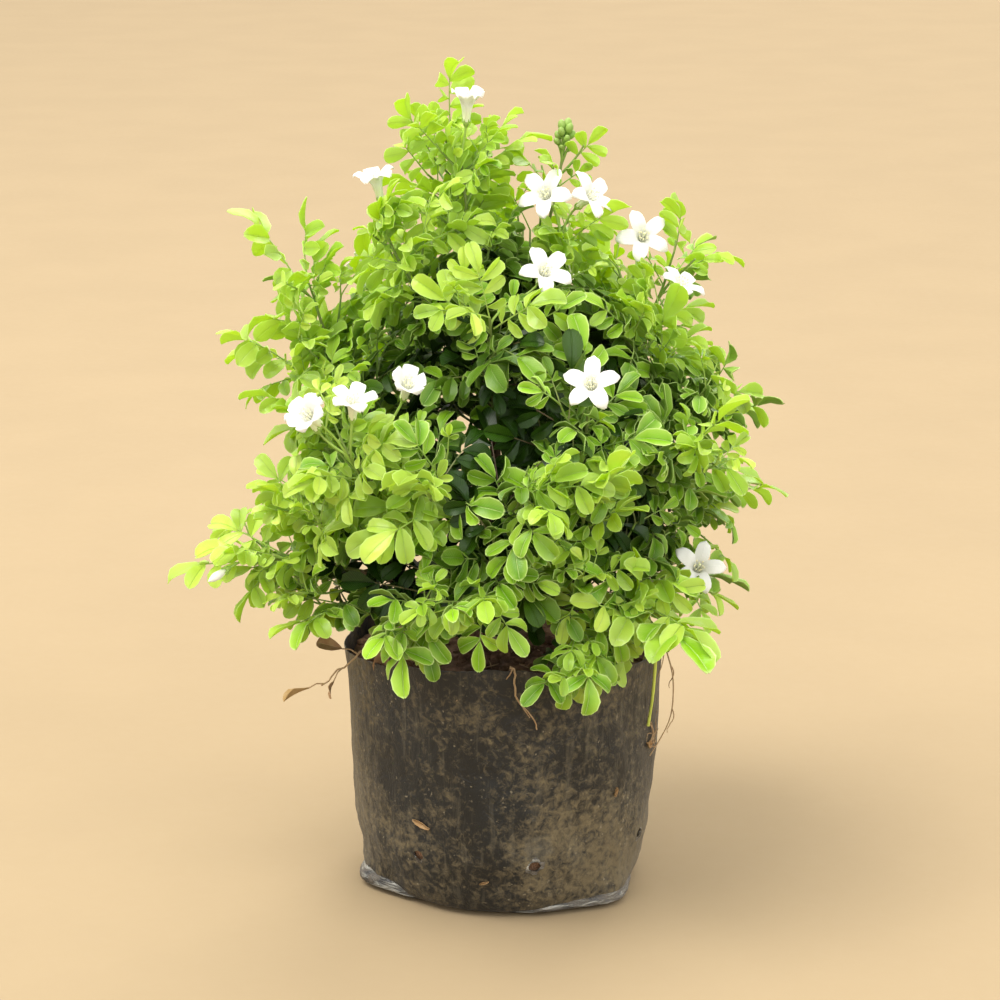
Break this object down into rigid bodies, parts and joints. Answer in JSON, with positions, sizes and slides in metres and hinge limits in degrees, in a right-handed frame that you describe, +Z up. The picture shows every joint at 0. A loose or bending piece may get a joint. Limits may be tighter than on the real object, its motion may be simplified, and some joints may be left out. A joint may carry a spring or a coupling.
{
  "type": "potted orange jasmine",
  "caption": "Bushy orange jasmine with small glossy compound leaves and white star flowers, standing in a black film nursery bag filled with soil.",
  "frame": {"origin": "middle of the bag's flat base, on the surface that it stands on", "axes": "+Z up along the trunk, -Y towards the front of the plant as the reference view shows it, +X to the right of that view"},
  "size_m": [0.2604, 0.2552, 0.3471],
  "materials": {
    "film": "thin black polythene film, dusty and wrinkled",
    "soil": "dry crumbly brown earth",
    "bark": "thin brown-grey bark",
    "leaf": "glossy green leaf with a pale midrib and margin, yellow-green when young",
    "dry": "dead brown leaf, twig and root",
    "stalk": "bare pale green stalk",
    "petal": "soft white petal, greenish yellow in the throat"
  },
  "bodies": {
    "root": {"grow_bag": "film", "soil": "soil", "woody_frame": "bark", "hanging_root_front": "dry", "hanging_root_right": "dry", "hanging_stalk_right": "stalk", "dry_twig": "dry", "crown_top": "leaf", "crown_bloom": "leaf", "crown_left_bloom": "leaf", "crown_right_bud": "leaf", "crown_right_blooms": "leaf", "crown_middle": "leaf", "crown_back": "leaf", "left_upright": "leaf", "left_reach": "leaf", "left_middle": "leaf", "left_front_blooms": "leaf", "left_far": "leaf", "left_far_upper": "leaf", "left_low_pair": "leaf", "front_left_bright": "leaf", "front_middle": "leaf", "front_low": "leaf", "front_left_droop": "leaf", "front_right_bright": "leaf", "front_star": "leaf", "front_right_droop": "leaf", "right_lip": "leaf", "right_front_star": "leaf", "right_front_upper": "leaf", "right_star": "leaf", "right_twig": "leaf", "right_spread": "leaf", "right_far": "leaf", "right_low": "leaf", "back_right_upper": "leaf", "back_right_low": "leaf", "back_middle": "leaf", "back_low": "leaf", "back_left_upper": "leaf", "back_left_middle": "leaf", "back_left_low": "leaf", "bloom_top": "petal", "bloom_top_left": "petal", "bloom_crown_a": "petal", "bloom_crown_b": "petal", "bloom_right_star": "petal", "bloom_right_recurved": "petal", "bloom_middle": "petal", "bloom_front_star": "petal", "bloom_right_front": "petal", "bloom_left_a": "petal", "bloom_left_b": "petal", "bloom_left_c": "petal", "bloom_left_small": "petal", "bloom_back_right": "petal", "bloom_back_left": "petal", "white_bud": "petal"}
  },
  "joints": []
}
